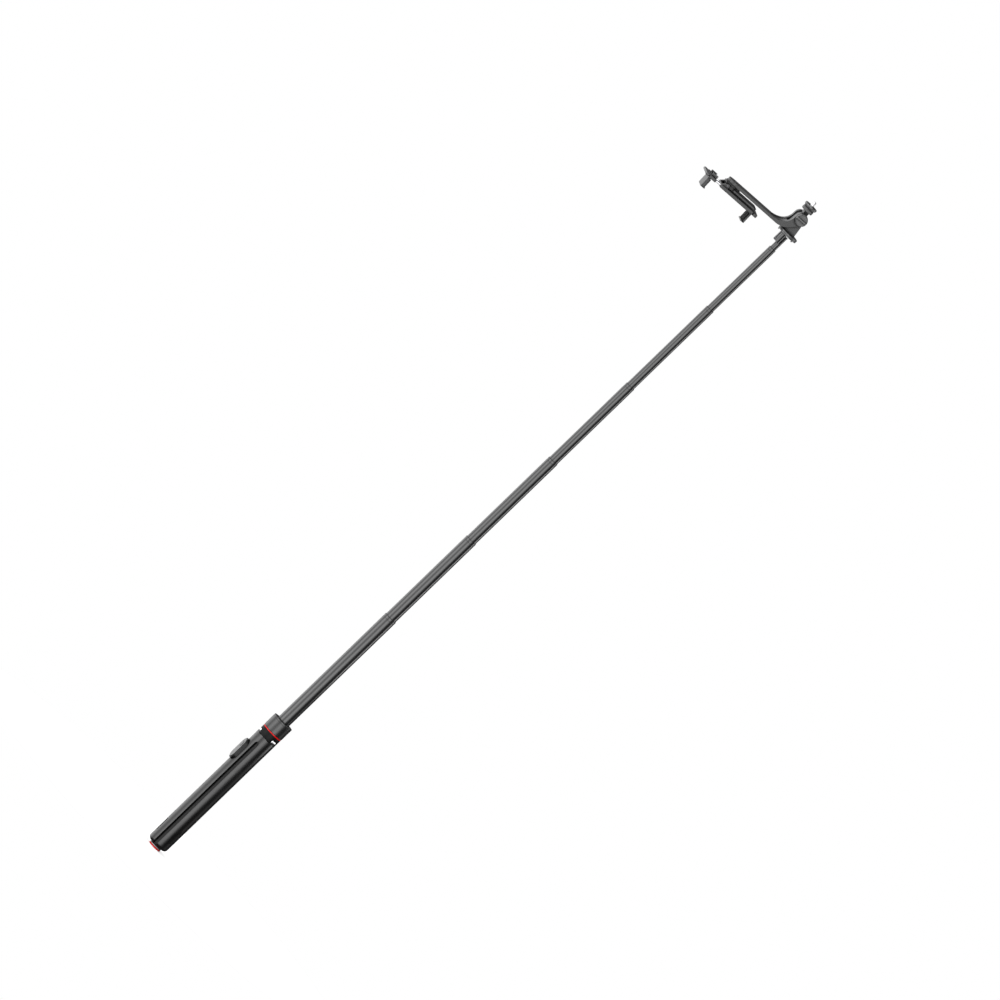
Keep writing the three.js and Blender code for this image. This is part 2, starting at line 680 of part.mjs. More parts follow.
function knuckleSide() {
  const { r, left, right, bottom, lip } = KNUCKLE;
  const top = SWIVEL_DISC.bottom - 0.1;
  const shape = new THREE.Shape();
  shape.moveTo(right, top);
  shape.lineTo(left, top);
  shape.lineTo(left, top - lip);
  shape.lineTo(FOLD_PIN.x - r, FOLD_PIN.z);
  shape.absarc(FOLD_PIN.x, FOLD_PIN.z, r, Math.PI, 1.4 * Math.PI, false);
  shape.lineTo(FOLD_PIN.x, bottom);
  shape.lineTo(right, bottom);
  return shape;
}

function addSwivel(group) {
  const disc = cylinder(SWIVEL_DISC.r, SWIVEL_DISC.bottom, SWIVEL_DISC.top, { x: ARM.end });
  const rivetHole = cylinder(RIVET.r + 0.1, RIVET.bottom - GAP, RIVET.top, { x: ARM.end });
  piece("swivel_disc", disc.subtract(rivetHole), blackPlastic, group);
  piece("swivel_rivet", cylinder(RIVET.r, RIVET.bottom, RIVET.top, { x: ARM.end }), steel, group);

  const leafPlan = roundedRectangle(LEAF.from, LEAF.to, -LEAF.half, LEAF.half, 5);
  const knuckle = sidePrism(knuckleSide(), -KNUCKLE.half, KNUCKLE.half)
    .add(planPrism(leafPlan, LEAF.bottom, LEAF.top))
    .subtract(rivetHole)
    .subtract(crossRod(FOLD_PIN.r + RUNNING, FOLD_PIN.x, FOLD_PIN.z, -KNUCKLE.half - 1, KNUCKLE.half + 1));
  piece("leaf_knuckle", knuckle, headPlastic, group);
  const pin = crossRod(FOLD_PIN.r, FOLD_PIN.x, FOLD_PIN.z, -FOLD_PIN.half, FOLD_PIN.half);
  piece("fold_pin", pin, steel, group);
}

// A lug that rises from the bar's end up a ramp to the fold pin.
function lugSide() {
  const shape = new THREE.Shape();
  shape.moveTo(BAR.from + 0.5, BAR.top - 1);
  shape.lineTo(BAR.from + 0.5, BAR.top);
  shape.lineTo(FOLD_PIN.x - 2.4, FOLD_PIN.z + 2.4);
  shape.absarc(FOLD_PIN.x, FOLD_PIN.z, LUG.r, 0.75 * Math.PI, 0, true);
  shape.lineTo(FOLD_PIN.x + LUG.r, BAR.top - 1);
  return shape;
}

function addBar(group) {
  const plan = roundedRectangle(BAR.from, BAR.to, -BAR.half, BAR.half, BAR.corner);
  let bar = planPrism(plan, BAR.bottom, BAR.top, BAR.edge, 4);
  for (const side of [-1, 1]) {
    const [y0, y1] = [side * LUG.inner, side * LUG.outer].sort((a, b) => a - b);
    bar = bar.add(sidePrism(lugSide(), y0, y1));
    bar = bar.subtract(longRod(ROD.r + RUNNING, side * ROD.y, ROD.z, BAR.from - 1, ROD.boreTo));
  }
  bar = bar.subtract(crossRod(FOLD_PIN.r + RUNNING, FOLD_PIN.x, FOLD_PIN.z, -LUG.outer - 1, LUG.outer + 1));
  const { flangeFrom, under, flange } = INNER_JAW;
  const wide = BAR.half + 1;
  bar = bar.subtract(box(flangeFrom - GAP, BAR.to + 1, -wide, wide, BAR.bottom - 1, under + flange + GAP));
  piece("clamp_bar", bar, headPlastic, group);
}

function jawPlate(x0, x1, z0, z1) {
  const shape = roundedRectangle(-JAW.half, JAW.half, z0, z1, JAW.corner);
  const settings = { depth: x1 - x0, bevelEnabled: false, curveSegments: 4 };
  const geometry = new THREE.ExtrudeGeometry(shape, settings);
  geometry.rotateX(Math.PI / 2);
  geometry.rotateZ(Math.PI / 2);
  return solid(geometry.translate(x0, 0, 0));
}

function jawPad(x0, x1) {
  return box(x0, x1, -PAD.half, PAD.half, PAD.bottom, PAD.top);
}

function addInnerJaw(group) {
  const { inner, outer, lipTo, flangeFrom, tabTo, tabHalf, under, flange } = INNER_JAW;
  const lipTop = JAW.drop + JAW.lip;
  const tabPlan = roundedRectangle(BAR.to + GAP, tabTo, -tabHalf, tabHalf, 2);
  const jaw = jawPlate(inner, outer, JAW.drop, under + flange)
    .add(box(lipTo, outer, -JAW.lipHalf, JAW.lipHalf, JAW.drop, lipTop))
    .add(box(flangeFrom, tabTo - 2.5, -BAR.half + 1, BAR.half - 1, under, under + flange))
    .add(planPrism(tabPlan, under, BAR.top - GAP, 0.5, 4));
  piece("inner_jaw", jaw, headPlastic, group);
  piece("inner_pad", jawPad(inner - PAD.thickness, inner - PAD.glue), rubber, group);
}

function addOuterJaw(group) {
  const { inner, outer, lipTo, floor } = OUTER_JAW;
  const carriagePlan = roundedRectangle(CARRIAGE.from, CARRIAGE.to, -CARRIAGE.half, CARRIAGE.half, 1.5);
  let jaw = planPrism(carriagePlan, floor, BAR.top, 0.5, 4)
    .add(jawPlate(outer, inner, JAW.drop, floor + JAW.corner + 1))
    .add(box(outer, lipTo, -JAW.lipHalf, JAW.lipHalf, JAW.drop, JAW.drop + JAW.lip));
  for (const side of [-1, 1]) {
    const y = side * ROD.y;
    jaw = jaw.subtract(longRod(ROD.r + 0.1, y, ROD.z, ROD.from - 0.2, CARRIAGE.to + 1));
    const name = side < 0 ? "guide_rod_front" : "guide_rod_rear";
    piece(name, longRod(ROD.r, y, ROD.z, ROD.from, ROD.to), chrome, group);
  }
  piece("outer_jaw", jaw, headPlastic, group);
  piece("outer_pad", jawPad(inner + PAD.glue, inner + PAD.thickness), rubber, group);

  const tabPlan = roundedRectangle(PULL_TAB.from, PULL_TAB.to, -CARRIAGE.half, CARRIAGE.half, 3);
  const tab = planPrism(tabPlan, PULL_TAB.bottom, PULL_TAB.top, PULL_TAB.edge, 5);
  piece("pull_tab", tab, greyPlastic, group);
}

function addShoe(group) {
  const { from, to, half, top, slotHalf, slotTop, mouth, floor } = SHOE;
  const bottom = BAR.top + 0.2;
  const rail = box(from, to, -half, half, bottom, top)
    .subtract(box(from - 1, to + 1, -slotHalf, slotHalf, bottom + floor, slotTop))
    .subtract(box(from - 1, to + 1, -mouth, mouth, slotTop - 0.5, top + 1));
  piece("accessory_shoe", rail, blackPlastic, group);
}

function addArmAndClamp() {
  const group = new THREE.Group();
  group.position.set(PIVOT.x, 0, PIVOT.z);
  group.rotation.y = ARM_DROOP;
  object.add(group);
  addArm(group);
  addSwivel(group);
  addBar(group);
  addInnerJaw(group);
  addOuterJaw(group);
  addShoe(group);
}

addCentreColumn();
addHub();
addLegs();
addPole();
addNeck();
addHeadPlate();
addTiltBase();
addCameraScrew();
addArmAndClamp();

export default object;
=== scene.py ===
"""The looks of a selfie stick with a tripod grip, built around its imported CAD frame, in metres."""

import json
import math

import bmesh
import bpy
from mathutils import Matrix, Vector


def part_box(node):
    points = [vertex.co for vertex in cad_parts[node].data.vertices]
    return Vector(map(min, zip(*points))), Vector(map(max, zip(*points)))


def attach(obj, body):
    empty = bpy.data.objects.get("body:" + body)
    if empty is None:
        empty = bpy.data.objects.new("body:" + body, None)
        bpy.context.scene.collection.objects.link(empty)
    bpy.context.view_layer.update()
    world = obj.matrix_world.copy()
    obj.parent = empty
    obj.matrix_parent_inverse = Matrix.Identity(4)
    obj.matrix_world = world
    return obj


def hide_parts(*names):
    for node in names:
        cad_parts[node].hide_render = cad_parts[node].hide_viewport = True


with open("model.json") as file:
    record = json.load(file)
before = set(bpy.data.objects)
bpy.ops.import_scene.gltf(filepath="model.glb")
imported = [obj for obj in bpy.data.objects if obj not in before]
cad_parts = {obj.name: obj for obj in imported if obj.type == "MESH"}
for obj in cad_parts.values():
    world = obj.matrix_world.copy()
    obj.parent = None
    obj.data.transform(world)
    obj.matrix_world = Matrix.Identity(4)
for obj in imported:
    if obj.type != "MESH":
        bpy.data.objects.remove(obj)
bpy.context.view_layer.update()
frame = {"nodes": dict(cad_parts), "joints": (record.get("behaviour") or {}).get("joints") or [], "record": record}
nodes = frame["nodes"]
bodies = frame["record"]["behaviour"]["bodies"]
body_of_node = {node: body for body, names in bodies.items() for node in names}
slot_of_node = {part["node"]: part["material_slot"] for part in frame["record"]["subparts"]}
joints = {joint["name"]: joint for joint in frame["joints"]}

MM = 0.001
TINY = 1e-6  # a length that counts as none
UP = Vector((0, 0, 1))

# ---- The view ---------------------------------------------------------------------------------------

CAMERA_AZIMUTH = math.radians(16)  # towards the arm from straight in front of the tilt knob
CAMERA_ELEVATION = math.radians(7)
POLE_SLOPE = math.radians(44.05)  # how steeply the pole climbs across the picture
CAMERA_DISTANCE = 3.0
PICTURE_WIDTH = 1.65
PICTURE_CENTRE_UP = 0.808  # along the pole from the foot, as the camera sees it
PICTURE_CENTRE_ACROSS = -0.0146

FLOOR_RADIUS = 0.42
FLOOR_SHADES = (0.93, 0.96)
FLOOR_GLOW = 0.3

# The studio all round the stick: (degrees from the camera, negative to its left, brightness).
STUDIO_PANELS = [
    (-180, 0.12), (-166, 0.12), (-152, 1.3), (-128, 2.4), (-112, 2.6), (-86, 1.6), (-53, 4.6), (-20, 1.5),
    (9, 4.3), (25, 3.5), (34, 2.1), (43, 0.35), (58, 0.0), (80, 0.05), (100, 0.5), (118, 0.1),
    (140, 0.03), (165, 0.12), (180, 0.12),
]
STUDIO_BRIGHTEST = 4.6
OVERHEAD_BRIGHTNESS = 0.5
UNDERNEATH_BRIGHTNESS = 0.08
BACKDROP_BRIGHTNESS = 1.0
# The sine of the angle above level, from where the panels start to fade to where they are gone.
CEILING_FROM_TO = (0.45, 0.85)
GROUND_FROM_TO = (-0.3, -0.65)
TUBE_LIGHT = {
    "angle": math.radians(102),
    "distance": 0.7,
    "width": 0.3,
    "bottom": 0.3,
    "top": 1.6,
    "brightness": 3.0,
}

# ---- Detail that the CAD solids leave out -----------------------------------------------------------

ROUND_SIDES = 96
SMALL_SIDES = 40
KNOB_SIDES = 240
MERGE_DISTANCE = 0.002 * MM
COPLANAR_ANGLE = math.radians(0.6)
SHARP_DEGREES = 32
ROUND_TOLERANCE = math.radians(9)
LEAST_SIDEWAYS = 0.25  # of a face's normal, for the face to count as part of a round wall

LEG_AZIMUTHS = (180, -60, 60)
TUBE_COUNT = 6
TUBE = {"wall": 0.55 * MM, "lip": 3.0 * MM, "play": 0.12 * MM, "round": 0.5 * MM}
CRIMP = {"below_rim": 4.6 * MM, "height": 1.0 * MM, "depth": 0.22 * MM}
NECK_CAP_OVERHANG = 0.4 * MM
CORE = {"bore": 12.4 * MM, "round": 0.3 * MM}
CORE_SEAT_RADIUS = 14.1 * MM  # of the collar's and the accent ring's bores round the core
COLLAR = {"bore": 12.2 * MM, "lip": 4.6 * MM, "round": 0.7 * MM}
COLLAR_GROOVE = {"below_rim": 2.6 * MM, "depth": 0.25 * MM}
ACCENT_ROUND = 0.35 * MM

FOOT = {"stem": 4.0 * MM, "rim_top": 2.5 * MM, "chamfer": 0.9 * MM, "centre": 3.4 * MM, "round": 0.6 * MM}
TREAD = {"radii": (4.2 * MM, 6.6 * MM, 9.0 * MM), "width": 1.1 * MM, "slope": 0.2 * MM, "depth": 0.45 * MM}
WASHER = {"bore": 4.1 * MM, "outer": 11.3 * MM, "above_rim": 0.05 * MM, "top": 4.25 * MM, "round": 0.4 * MM}

PLATE_ROUND = 0.5 * MM
PLATE_GROOVE = {"bottom": 1.9 * MM, "top": 2.85 * MM, "slope": 0.25 * MM, "depth": 0.3 * MM}
PEG = {
    "circle": 18 * MM,
    "length": 2 * MM,
    "radius": 1.2 * MM,
    "tip": 0.8 * MM,
    "taper": 0.6 * MM,
    "root": 1 * MM,
    "round": 0.3 * MM,
}

THREAD = {"pitch": 1.27 * MM, "depth": 0.45 * MM, "flank": 1.35, "lead_in": 1.3 * MM, "lead_in_slope": 0.8}
THREAD_STEPS_PER_TURN = 10
KNURL = {"count": 36, "depth": 0.45 * MM, "sharpness": 1.5, "chamfer": 0.7 * MM, "sides_each": 8}
CUP = {
    "hole": 3.3 * MM,
    "foot": 9.6 * MM,
    "flare": 3.3 * MM,
    "inside": 10.6 * MM,
    "depth": 2.2 * MM,
    "round": 0.45 * MM,
}
CUP_PAD = {
    "hole": 3.6 * MM,
    "pitch": 1.5 * MM,
    "land": 0.8 * MM,
    "slope": 0.15 * MM,
    "depth": 0.35 * MM,
    "margin": 0.5 * MM,
    "round": 0.12 * MM,
}

# The knob: "face" is how far its front face stands out from the middle of the tilt joint.
KNOB = {"face": 19.4 * MM, "radius": 10.6 * MM, "edge": 0.8 * MM, "flutes": 30, "flute_depth": 0.12 * MM}
KNOB_BACK_STEPS = (0, 0.4 * MM, 0.8 * MM)
KNOB_FRONT_STEPS = (0.8 * MM, 0.5 * MM, 0.2 * MM, 0)
KNOB_DISH = {"rim": 1.1 * MM, "slope": 0.8 * MM, "depth": 0.6 * MM}
KNOB_BAR = {"half_width": 1.5 * MM, "short_of_rim": 0.8 * MM, "edge": 0.6 * MM}

ROD_CHAMFER = 0.25 * MM
RIBS = 6
RIB_EDGE = 0.2 * MM
# Each rib's outline across its pitch: (share of the pitch, depth below the crest).
RIB_OUTLINE = [
    (0.02, 0.55 * MM),
    (0.16, 0.1 * MM),
    (0.35, 0),
    (0.65, 0),
    (0.84, 0.1 * MM),
    (0.98, 0.55 * MM),
]

# How round the edges of the copied CAD solids are, in millimetres.
EDGES = {
    "arm": 1.3,
    "tilt_base": 0.6,
    "leaf_knuckle": 0.4,
    "clamp_bar": 0.5,
    "inner_jaw": 0.5,
    "outer_jaw": 1.0,
    "pull_tab": 0.6,
    "accessory_shoe": 0.25,
    "swivel_disc": 0.5,
    "swivel_sleeve": 0.5,
    "neck_rod": 0.4,
    "neck_bolt": 0.3,
    "tilt_nut": 0.25,
    "leg_left_pin": 0.3,
    "leg_front_pin": 0.3,
    "leg_rear_pin": 0.3,
    "leg_left_strip": 0.3,
    "leg_front_strip": 0.3,
    "leg_rear_strip": 0.3,
    "remote_cradle": 0.5,
    "remote_front": 0.5,
    "remote_back": 0.3,
    "shutter_button": 0.4,
    "core_plug": 0.5,
}
ROUND_SHELL_EDGES = {"leg_hub": 0.3, "leg_left": 0.35, "leg_front": 0.35, "leg_rear": 0.35}

# ---- Finishes ---------------------------------------------------------------------------------------

NOISE_RANGE = (0.3, 0.7)  # where most of a noise's values lie
PAINTED_SHADE_AO_RANGE = (0.55, 0.92)  # the ambient occlusion from a crevice to an open face, over which painted shade fades out
EDGE_RANGE = (0.99, 0.80)  # the agreement of true and softened normals, from flat to a sharp edge
WORN_EDGE = 0.35 * MM
GRAIN_HEIGHT = 0.05 * MM
TOOL_MARK_HEIGHT = 0.02 * MM
# How far from a crevice the plastics get painted shade: a darker colour and a dimmer sheen.
PAINTED_SHADE_REACH = 5.0 * MM
# The tilt base's painted shade reaches further: a dark shadow band under the arm's lower edge.
BASE_PAINTED_SHADE_REACH = 7 * MM
# How far past a tube's lip its sheen is dimmed, as painted shadow.
LIP_SHADOW_REACH = 3.0 * MM
# The nodes whose finish isn't the one of their material slot.
SPECIAL_FINISHES = {
    "core_tube": "core_plastic",
    "leg_hub": "matt_black",
    # The remote's back is painted matt black to stand in for the shadow line between the remote and its cradle.
    "remote_back": "matt_black",
    "accessory_shoe": "grey_plastic",
    # The tilt base gets painted shade reaching further, for the shadow under the arm's edge.
    "tilt_base": "base_plastic",
    "collar": "collar_plastic",
    "tilt_knob": "knob_plastic",
    "neck_bolt": "black_oxide",
    "fold_pin": "black_oxide",
    "swivel_rivet": "black_oxide",
}


# ---- Mesh helpers -----------------------------------------------------------------------------------

def finish_piece(name, bm, material, node, smooth_angle=SHARP_DEGREES, even_normals=True):
    """Makes an object from a bmesh, which stands for a CAD node and rides on its body."""
    mesh = bpy.data.meshes.new(name)
    bmesh.ops.recalc_face_normals(bm, faces=bm.faces)
    bm.to_mesh(mesh)
    bm.free()
    mesh.shade_smooth()
    mesh.set_sharp_from_angle(angle=math.radians(smooth_angle))
    piece = bpy.data.objects.new(name, mesh)
    bpy.context.scene.collection.objects.link(piece)
    mesh.materials.append(material)
    if even_normals:
        weighted = piece.modifiers.new("even_normals", "WEIGHTED_NORMAL")
        weighted.keep_sharp = True
    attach(piece, body_of_node[node])
    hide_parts(node)
    return piece


def round_edges(piece, width, degrees):
    """Bevels a piece's sharp edges, ahead of the modifier that evens its normals."""
    bevel = piece.modifiers.new("rounded_edges", "BEVEL")
    bevel.limit_method = "ANGLE"
    bevel.angle_limit = math.radians(degrees)
    bevel.width = width
    bevel.segments = 2
    piece.modifiers.move(1, 0)


def rounded(profile, radius, steps=3):
    """Rounds off a closed profile of (radius, height) points, except for corners on the axis."""
    points = [Vector(p) for p in profile]
    result = []
    for i, corner in enumerate(points):
        before = points[i - 1] - corner
        after = points[(i + 1) % len(points)] - corner
        cut = min(radius, 0.45 * before.length, 0.45 * after.length)
        if corner.x < TINY or cut < TINY:
            result.append(corner)
            continue
        start = corner + before.normalized() * cut
        end = corner + after.normalized() * cut
        for k in range(steps + 1):
            t = k / steps
            result.append(start * (1 - t) ** 2 + corner * 2 * t * (1 - t) + end * t ** 2)
    return result


def turned_frame(origin, axis):
    """The matrix that takes +Z to an axis, and zero to a point."""
    return Matrix.Translation(origin) @ Vector(axis).to_track_quat("Z", "Y").to_matrix().to_4x4()


def polar(radius, angle, height):
    return Vector((radius * math.cos(angle), radius * math.sin(angle), height))


def add_lathe(bm, profile, origin=(0, 0, 0), axis=UP, sides=ROUND_SIDES):
    """Adds a closed surface of revolution about an axis; its profile closes on itself or on the axis."""
    place = turned_frame(origin, axis)
    angles = [2 * math.pi * k / sides for k in range(sides)]
    rings = []
    for r, height in profile:
        if r < TINY:
            rings.append([bm.verts.new(place @ Vector((0, 0, height)))] * sides)
            continue
        rings.append([bm.verts.new(place @ polar(r, angle, height)) for angle in angles])
    pairs = list(zip(rings, rings[1:]))
    if min(r for r, _ in profile) > TINY:
        pairs.append((rings[-1], rings[0]))
    for low, high in pairs:
        for k in range(sides):
            after = (k + 1) % sides
            corners = list(dict.fromkeys([low[k], low[after], high[after], high[k]]))
            if len(corners) > 2:
                bm.faces.new(corners)


def add_swept(bm, radius_at, heights, origin, axis=UP, sides=ROUND_SIDES):
    """Adds a closed solid whose radius depends on the angle and the height. Returns its end face."""
    place = turned_frame(origin, axis)
    angles = [2 * math.pi * k / sides for k in range(sides)]
    rings = []
    for height in heights:
        points = [place @ polar(radius_at(angle, height), angle, height) for angle in angles]
        rings.append([bm.verts.new(point) for point in points])
    for low, high in zip(rings, rings[1:]):
        for k in range(sides):
            after = (k + 1) % sides
            bm.faces.new([low[k], low[after], high[after], high[k]])
    bm.faces.new(rings[0][::-1])
    return bm.faces.new(rings[-1])


def add_block(bm, half_sizes, place, edge, segments=3):
    """Adds a box with rounded edges."""
    made = bmesh.ops.create_cube(bm, size=2.0, matrix=place @ Matrix.Diagonal((*half_sizes, 1)))
    edges = {e for v in made["verts"] for e in v.link_edges}
    bmesh.ops.bevel(bm, geom=list(edges), offset=edge, segments=segments, profile=0.5, affect="EDGES")


def measure(node, origin, axis):
    """The lowest and highest distance of a CAD node along an axis, and its greatest distance from it."""
    axis = Vector(axis).normalized()
    offsets = [v.co - Vector(origin) for v in nodes[node].data.vertices]
    along = [o.dot(axis) for o in offsets]
    radial = [(o - axis * t).length for o, t in zip(offsets, along)]
    return min(along), max(along), max(radial)


def middle(node):
    low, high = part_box(node)
    return (low + high) / 2


def upright(node):
    """The bottom, the top and the outer radius of a round node that stands upright."""
    low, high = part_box(node)
    return low.z, high.z, (high.x - low.x) / 2


def plan_place(node, height=0.0):
    """The point at a height on the upright axis through a node's middle."""
    centre = middle(node)
    return (centre.x, centre.y, height)


def cad_copy(node):
    """A bmesh of the CAD solid with its flat faces joined up."""
    bm = bmesh.new()
    bm.from_mesh(nodes[node].data)
    bmesh.ops.remove_doubles(bm, verts=bm.verts, dist=MERGE_DISTANCE)
    bmesh.ops.dissolve_limit(bm, angle_limit=COPLANAR_ANGLE, verts=bm.verts, edges=bm.edges)
    return bm


def edged_copy(node, edge):
    """The CAD solid with its edges rounded by a modifier."""
    piece = finish_piece(node + "_shell", cad_copy(node), finish_of(node), node)
    round_edges(piece, edge, SHARP_DEGREES)


def true_round_normals(mesh):
    """Shades the facets that go round the pole's axis as the true round surface they stand for."""
    least_facing = math.cos(ROUND_TOLERANCE)
    normals = [Vector(corner.vector) for corner in mesh.corner_normals]
    for face in mesh.polygons:
        flat = Vector((face.normal.x, face.normal.y, 0))
        if flat.length < LEAST_SIDEWAYS:
            continue
        flat.normalize()
        for corner in face.loop_indices:
            where = mesh.vertices[mesh.loops[corner].vertex_index].co
            radial = Vector((where.x, where.y, 0)).normalized()
            facing = flat.dot(radial)
            if abs(facing) < least_facing:
                continue
            rise = max(-1.0, min(1.0, normals[corner].z))
            outwards = math.copysign(math.sqrt(1 - rise * rise), facing)
            normals[corner] = radial * outwards + UP * rise
    mesh.normals_split_custom_set(normals)


def round_shelled_copy(node, edge):
    """The CAD solid of a part that wraps round the pole, with rounded edges and true round shading."""
    bm = cad_copy(node)
    sharp_angle = math.radians(SHARP_DEGREES)
    sharp = [e for e in bm.edges if e.is_manifold and e.calc_face_angle() > sharp_angle]
    bmesh.ops.bevel(
        bm, geom=sharp, offset=edge, segments=2, profile=0.5, affect="EDGES", clamp_overlap=True,
    )
    piece = finish_piece(node + "_shell", bm, finish_of(node), node, even_normals=False)
    true_round_normals(piece.data)


# ---- Material helpers -------------------------------------------------------------------------------

def feed(tree, socket, value):
    """Joins a socket to another node's output, or sets it to a plain value."""
    if isinstance(value, bpy.types.NodeSocket):
        tree.links.new(value, socket)
    else:
        socket.default_value = value


class Nodes:
    """A material's nodes, with short calls to add and join them."""

    def __init__(self, name, colour, roughness, metallic=0.0):
        self.material = bpy.data.materials.new(name)
        self.material.use_nodes = True
        self.tree = self.material.node_tree
        self.shader = self.tree.nodes["Principled BSDF"]
        self.shader.inputs["Base Color"].default_value = (*colour, 1)
        self.shader.inputs["Roughness"].default_value = roughness
        self.shader.inputs["Metallic"].default_value = metallic

    def add(self, kind, settings=None, **inputs):
        node = self.tree.nodes.new(kind)
        for key, value in (settings or {}).items():
            setattr(node, key, value)
        for key, value in inputs.items():
            feed(self.tree, node.inputs[key.replace("_", " ")], value)
        return node

    def place(self, scale=(1, 1, 1)):
        """The piece's own coordinates, in metres, times a scale on each axis."""
        where = self.add("ShaderNodeTexCoord").outputs["Object"]
        return self.add("ShaderNodeMapping", Vector=where, Scale=scale).outputs["Vector"]

    def noise(self, vector, scale, detail=4.0, rough=0.5):
        made = self.add("ShaderNodeTexNoise", Vector=vector, Scale=scale, Detail=detail, Roughness=rough)
        return made.outputs["Fac"]

    def spread(self, value, from_min, from_max, to_min=0.0, to_max=1.0):
        """Stretches a value's range over another, and holds it there."""
        made = self.add("ShaderNodeMapRange", Value=value, To_Min=to_min, To_Max=to_max)
        made.inputs["From Min"].default_value = from_min
        made.inputs["From Max"].default_value = from_max
        return made.outputs["Result"]

    def span(self, value, low, high):
        """Stretches a noise's usual range over low to high."""
        return self.spread(value, *NOISE_RANGE, low, high)

    def blend_colour(self, factor, first, second):
        mix = self.add("ShaderNodeMix", {"data_type": "RGBA"})
        self.tree.links.new(factor, mix.inputs[0])
        for socket, value in ((mix.inputs[6], first), (mix.inputs[7], second)):
            feed(self.tree, socket, (*value, 1) if isinstance(value, tuple) else value)
        return mix.outputs[2]

    def join(self, output, name):
        self.tree.links.new(output, self.shader.inputs[name])

    def bump(self, height, strength, distance, normal=None):
        made = self.add("ShaderNodeBump", Height=height, Strength=strength, Distance=distance)
        if normal is not None:
            self.tree.links.new(normal, made.inputs["Normal"])
        return made.outputs["Normal"]

    def edge_wear(self, radius):
        """0 on flat stretches, towards 1 on sharp edges, broken up so that the wear is patchy."""
        softened = self.add("ShaderNodeBevel", {"samples": 4}, Radius=radius).outputs["Normal"]
        true = self.add("ShaderNodeNewGeometry").outputs["Normal"]
        dot = self.add("ShaderNodeVectorMath", {"operation": "DOT_PRODUCT"})
        self.tree.links.new(softened, dot.inputs[0])
        self.tree.links.new(true, dot.inputs[1])
        edge = self.spread(dot.outputs["Value"], *EDGE_RANGE)
        patches = self.span(self.noise(self.place(), 260.0), 0.0, 1.0)
        both = self.add("ShaderNodeMath", {"operation": "MULTIPLY"})
        self.tree.links.new(edge, both.inputs[0])
        self.tree.links.new(patches, both.inputs[1])
        return both.outputs["Value"]

    def painted_shade_openness(self, reach, low, high):
        """Painted shade: low down in crevices, rising to high on open faces."""
        made = self.add("ShaderNodeAmbientOcclusion", {"samples": 4}, Distance=reach)
        return self.spread(made.outputs["AO"], *PAINTED_SHADE_AO_RANGE, low, high)


def lighter(colour, factor):
    return tuple(min(1.0, c * factor) for c in colour)


def moulded_plastic(
    name, colour, roughness, grain, wear=1.8, specular=0.5, crevice_specular=0.1, reach=PAINTED_SHADE_REACH,
):
    """Spark-textured moulded plastic: fine pebbled grain, faint flow marks, worn edges, and painted shade in
    crevices (a darker colour and a dimmer sheen there).
    """
    m = Nodes(name, colour, roughness)
    # Painted shade: the sheen dims in crevices.
    m.join(m.painted_shade_openness(reach, crevice_specular * specular, specular), "Specular IOR Level")
    where = m.place()
    flow = m.noise(where, 55.0, detail=3.0)
    mottled = m.blend_colour(flow, lighter(colour, 0.88), lighter(colour, 1.14))
    worn = m.blend_colour(m.edge_wear(WORN_EDGE), mottled, lighter(colour, wear))
    # Painted shade: the colour darkens in crevices.
    m.join(m.blend_colour(m.painted_shade_openness(reach, 0.0, 1.0), lighter(colour, 0.15), worn), "Base Color")
    smudges = m.noise(where, 34.0, detail=6.0, rough=0.6)
    m.join(m.span(smudges, roughness - 0.05, roughness + 0.06), "Roughness")
    pebbles = m.add(
        "ShaderNodeTexVoronoi", {"feature": "SMOOTH_F1"}, Vector=where, Scale=2100.0, Smoothness=0.6,
    )
    m.join(m.bump(pebbles.outputs["Distance"], grain, GRAIN_HEIGHT), "Normal")
    return m.material


def anodised_tube(name, colour, roughness):
    """Drawn and anodised aluminium: fine lines along it, faint rub rings round it, and painted shade that dims its
    sheen just past a lip.
    """
    m = Nodes(name, colour, roughness)
    # Painted shade: the sheen dims just past the lip of the next tube out.
    m.join(m.painted_shade_openness(LIP_SHADOW_REACH, 0.1, 0.62), "Specular IOR Level")
    lines = m.noise(m.place((2600, 2600, 14)), 1.0, detail=2.0)
    rings = m.noise(m.place((30, 30, 900)), 1.0, detail=3.0)
    cloud = m.noise(m.place(), 22.0, detail=4.0)
    m.join(m.blend_colour(cloud, lighter(colour, 0.9), lighter(colour, 1.12)), "Base Color")
    m.join(m.span(rings, roughness - 0.045, roughness + 0.05), "Roughness")
    drawn = m.bump(lines, 0.06, TOOL_MARK_HEIGHT)
    m.join(m.bump(rings, 0.03, TOOL_MARK_HEIGHT, drawn), "Normal")
    return m.material


def turned_steel(name, colour, roughness):
    """Bare machined steel: fine tool rings and a few darker stains."""
    m = Nodes(name, colour, roughness, metallic=1.0)
    rings = m.noise(m.place((60, 60, 5200)), 1.0, detail=2.0)
    stains = m.noise(m.place(), 180.0, detail=5.0)
    m.join(m.blend_colour(stains, lighter(colour, 0.82), colour), "Base Color")
    m.join(m.span(stains, roughness - 0.05, roughness + 0.1), "Roughness")
    m.join(m.bump(rings, 0.22, TOOL_MARK_HEIGHT), "Normal")
    return m.material


def polished_chrome(name, colour):
    """Chrome plate with faint finger smears."""
    m = Nodes(name, colour, 0.08, metallic=1.0)
    smears = m.noise(m.place((260, 90, 90)), 1.0, detail=5.0)
    m.join(m.blend_colour(smears, lighter(colour, 0.93), colour), "Base Color")
    m.join(m.span(smears, 0.05, 0.17), "Roughness")
    return m.material


def soft_rubber(name, colour, roughness):
    """Matte moulded rubber: speckled with dust and finely pitted."""
    m = Nodes(name, colour, roughness)
    m.shader.inputs["Specular IOR Level"].default_value = 0.15
    where = m.place()
    dust = m.noise(where, 420.0, detail=6.0, rough=0.65)
    m.join(m.blend_colour(dust, lighter(colour, 0.8), lighter(colour, 1.3)), "Base Color")
    m.join(m.span(dust, roughness - 0.06, roughness + 0.08), "Roughness")
    pits = m.noise(where, 3400.0, detail=3.0)
    m.join(m.bump(pits, 0.3, GRAIN_HEIGHT), "Normal")
    return m.material


